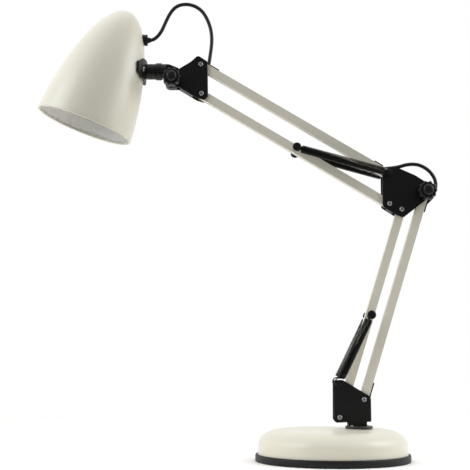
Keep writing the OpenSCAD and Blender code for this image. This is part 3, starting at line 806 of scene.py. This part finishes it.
STEPS_EACH = 8
head_line = curve_through(head_route, STEPS_EACH)
cuts = [0, 7 * STEPS_EACH, 14 * STEPS_EACH, len(head_line) - 1]
for k in range(3):
    piece = lead_stretch(f"head_lead_{k + 1}", head_line[cuts[k]:cuts[k + 1] + 1])
    if k == 0:
        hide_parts("lead_at_head")
elbow_line = curve_through(elbow_route, STEPS_EACH)
middle = 8 * STEPS_EACH
piece = lead_stretch("elbow_lead_1", elbow_line[:middle + 1])
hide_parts("lead_at_elbow")
lead_stretch("elbow_lead_2", elbow_line[middle:])
piece = lead_stretch("base_lead", curve_through(base_route, STEPS_EACH))
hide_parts("lead_at_base")
for name, line in (("head", head_line), ("elbow", elbow_line)):
    length = sum((b - a).length for a, b in zip(line, line[1:]))
    print(name, "loop is", round(length / MM), "mm long")

# %% The gland's taper
gland_profile = [(0, -5), (3.9, -5), (3.9, -2.6), (6.5, -2.4), (6.9, -1.9), (6.9, 1.2),
                 (6.5, 1.6), (6.5, 2.1), (6.9, 2.5), (6.9, 4.4), (6.5, 5.0), (3.8, 5.2),
                 (3.6, 5.6), (3.5, 6.4), (3.2, 7.2), (2.9, 8.2), (2.6, 9.0), (1.9, 9.0),
                 (0, 8.6)]
gland_piece = turned("lead_gland_moulded", gland_profile, axis_place(gland, (1, 0, 0)), 48)
gland_piece.data.materials.append(black_abs)
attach(gland_piece, "shade")
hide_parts("lead_gland")
print("gland at mm:", [round(v / MM, 1) for v in gland])

# %% [markdown]
# ## Base
# The base cover is pressed from sheet: a straight wall, a shoulder that is part of an
# ellipse, and a top that is very slightly crowned so that it doesn't oil-can. A moulded
# ring grips its foot and stands a little proud of it.

# %% Pressed cover and trim ring
COVER_R = 87.0
COVER_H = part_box("base_cover")[1].z / MM
COVER_SHEET = 1.5
COVER_FOOT = 1.5
CROWN = 1
SHOULDER = (62.0, 18.0)


def cover_profile(drawn_in, steps=14):
    rise = COVER_H - CROWN - SHOULDER[1] - drawn_in
    curve = [(SHOULDER[0] + (COVER_R - SHOULDER[0] - drawn_in) * math.cos(a),
              SHOULDER[1] + rise * math.sin(a))
             for a in (math.radians(90 * k / steps) for k in range(steps + 1))]
    crown = [(x, COVER_H - drawn_in - CROWN * (x / SHOULDER[0]) ** 2)
             for x in (54, 46, 38, 30, 22, 14, 7, 0)]
    return [(COVER_R - drawn_in, COVER_FOOT)] + curve + crown


outer, inner = cover_profile(0), cover_profile(COVER_SHEET)
cover = turned("pressed_base_cover", outer[::-1] + inner, Matrix.Identity(4), 192, 60)
cover.data.materials.append(cream_enamel)
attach(cover, "base")
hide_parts("base_cover")

ring_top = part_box("base_trim_ring")[1].z / MM
ring_profile = [(80.0, 0.0), (89.2, 0.0), (89.8, 0.25), (90.0, 0.9), (90.0, ring_top - 1.6),
                (89.8, ring_top - 0.9), (89.2, ring_top - 0.3), (88.4, ring_top),
                (87.5, ring_top - 0.15), (87.05, ring_top - 0.6), (87.05, 1.45), (80.0, 1.45),
                (80.0, 0.0)]
ring = turned("moulded_trim_ring", ring_profile, Matrix.Identity(4), 192, 50)
ring.data.materials.append(black_rubber)
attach(ring, "base")
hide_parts("base_trim_ring")
print("base faces:", len(cover.data.polygons) + len(ring.data.polygons))

# %% [markdown]
# ## Lamp holder
# Inside the shade sits an ordinary screw holder: a skirt with ribs for grip, a waist and
# a cap where the lead comes in. It is moulded, so its edges are rounded.

# %% Moulded holder
holder_profile = [(14.1, 84.0), (14.1, 80.6), (14.6, 80.0), (18.4, 80.0), (19.0, 80.6),
                  (19.0, 84.4), (18.4, 85.0), (17.2, 85.2)]
for k in range(6):
    z = 87.0 + 4.0 * k
    holder_profile += [(17.0, z), (17.0, z + 2.2), (16.4, z + 2.6), (16.4, z + 3.6)]
holder_profile += [(17.0, 111.6), (17.0, 116.6), (16.2, 117.8), (12.2, 118.4), (12.0, 119.0),
                   (12.0, 127.0), (11.2, 128.0), (0.0, 128.0)]
socket_floor = [(0.0, 114.0), (13.9, 114.0), (14.0, 113.0)]
holder = turned("moulded_lamp_holder", socket_floor + holder_profile, in_shade, 72)
holder.data.materials.append(black_abs)
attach(holder, "shade")
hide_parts("lamp_holder")
print("holder faces:", len(holder.data.polygons))

# %% [markdown]
# ## Studio
# The lamp stands on a plain white floor inside a white light tent. The tent's walls glow
# on every side but one: its opening, in front, is dark. So the front faces get their
# light from the sides, the blacks stay deep, and every edge has a bright rim. The light
# from under the floor's level is dimmer, as a real floor and table give back less. The
# camera itself sees plain white. Two weak soft boxes beside the lamp and one above it are
# aimed at the shade. Their light has a faint daylight tint.

# %% Floor and surround
TENT_WALL, TENT_OPENING, UNDER_FLOOR = 1.0, 0.26, 0.45
FLOOR_SIDE, FLOOR_FRONT, FLOOR_BACK = 0.9, -0.3, 0.9
floor_mesh = bpy.data.meshes.new("studio_floor")
corners = [(-FLOOR_SIDE, FLOOR_FRONT, 0), (FLOOR_SIDE, FLOOR_FRONT, 0),
           (FLOOR_SIDE, FLOOR_BACK, 0), (-FLOOR_SIDE, FLOOR_BACK, 0)]
floor_mesh.from_pydata(corners, [], [(0, 1, 2, 3)])
studio_floor = bpy.data.objects.new("studio_floor", floor_mesh)
bpy.context.scene.collection.objects.link(studio_floor)
paper = surface("seamless_paper", Base_Color=linear("#FDFBF8"), Roughness=0.9)[0]
floor_mesh.materials.append(paper)
print("floor in m:", 2 * FLOOR_SIDE, "by", FLOOR_BACK - FLOOR_FRONT)

# %% The glowing tent
world = bpy.data.worlds.new("studio")
bpy.context.scene.world = world
world.use_nodes = True
tree = world.node_tree
tree.nodes.clear()
way = add(tree, "ShaderNodeSeparateXYZ",
          {"Vector": add(tree, "ShaderNodeTexCoord").outputs["Generated"]})
tent = add(tree, "ShaderNodeMapRange", {"Value": way.outputs["Y"], "From Min": -0.80,
                                        "From Max": -0.35, "To Min": TENT_OPENING,
                                        "To Max": TENT_WALL}, interpolation_type="SMOOTHSTEP")
below = add(tree, "ShaderNodeMapRange", {"Value": way.outputs["Z"], "From Min": -0.3,
                                         "From Max": -0.02, "To Min": UNDER_FLOOR,
                                         "To Max": 1.0}, interpolation_type="SMOOTHSTEP")
glow = add(tree, "ShaderNodeMath", {0: tent.outputs["Result"], 1: below.outputs["Result"]},
           operation="MULTIPLY")
lit = add(tree, "ShaderNodeBackground", {"Strength": glow.outputs["Value"]})
backdrop = add(tree, "ShaderNodeBackground", {"Strength": 1.0})
for shader in (lit, backdrop):
    shader.inputs["Color"].default_value = (1, 1, 1, 1)
seen = add(tree, "ShaderNodeLightPath").outputs["Is Camera Ray"]
both = add(tree, "ShaderNodeMixShader", {0: seen, 1: lit.outputs["Background"],
                                         2: backdrop.outputs["Background"]})
add(tree, "ShaderNodeOutputWorld", {"Surface": both.outputs["Shader"]})
bpy.context.scene.view_settings.view_transform = "Standard"
print("tent wall to opening:", TENT_WALL, "to", TENT_OPENING)


# %% Soft boxes
SHADE_MIDDLE = (shade_low + shade_high) / 2
DAYLIGHT = "#F6FAFF"


def soft_box(name, at, target, size, watts):
    data = bpy.data.lights.new(name, "AREA")
    data.shape = "RECTANGLE"
    data.size, data.size_y = size
    data.energy = watts
    data.color = linear(DAYLIGHT)[:3]
    light = bpy.data.objects.new(name, data)
    bpy.context.scene.collection.objects.link(light)
    light.location = at
    light.rotation_euler = (Vector(target) - Vector(at)).to_track_quat("-Z", "Y").to_euler()


soft_box("left_box", (-0.95, -0.35, 0.75), SHADE_MIDDLE, size=(0.6, 0.6), watts=4)
soft_box("right_box", (1.0, -0.1, 0.85), SHADE_MIDDLE, size=(0.7, 0.7), watts=6)
soft_box("top_box", (-0.3, 0.1, 1.4), SHADE_MIDDLE, size=(0.8, 0.8), watts=1.2)
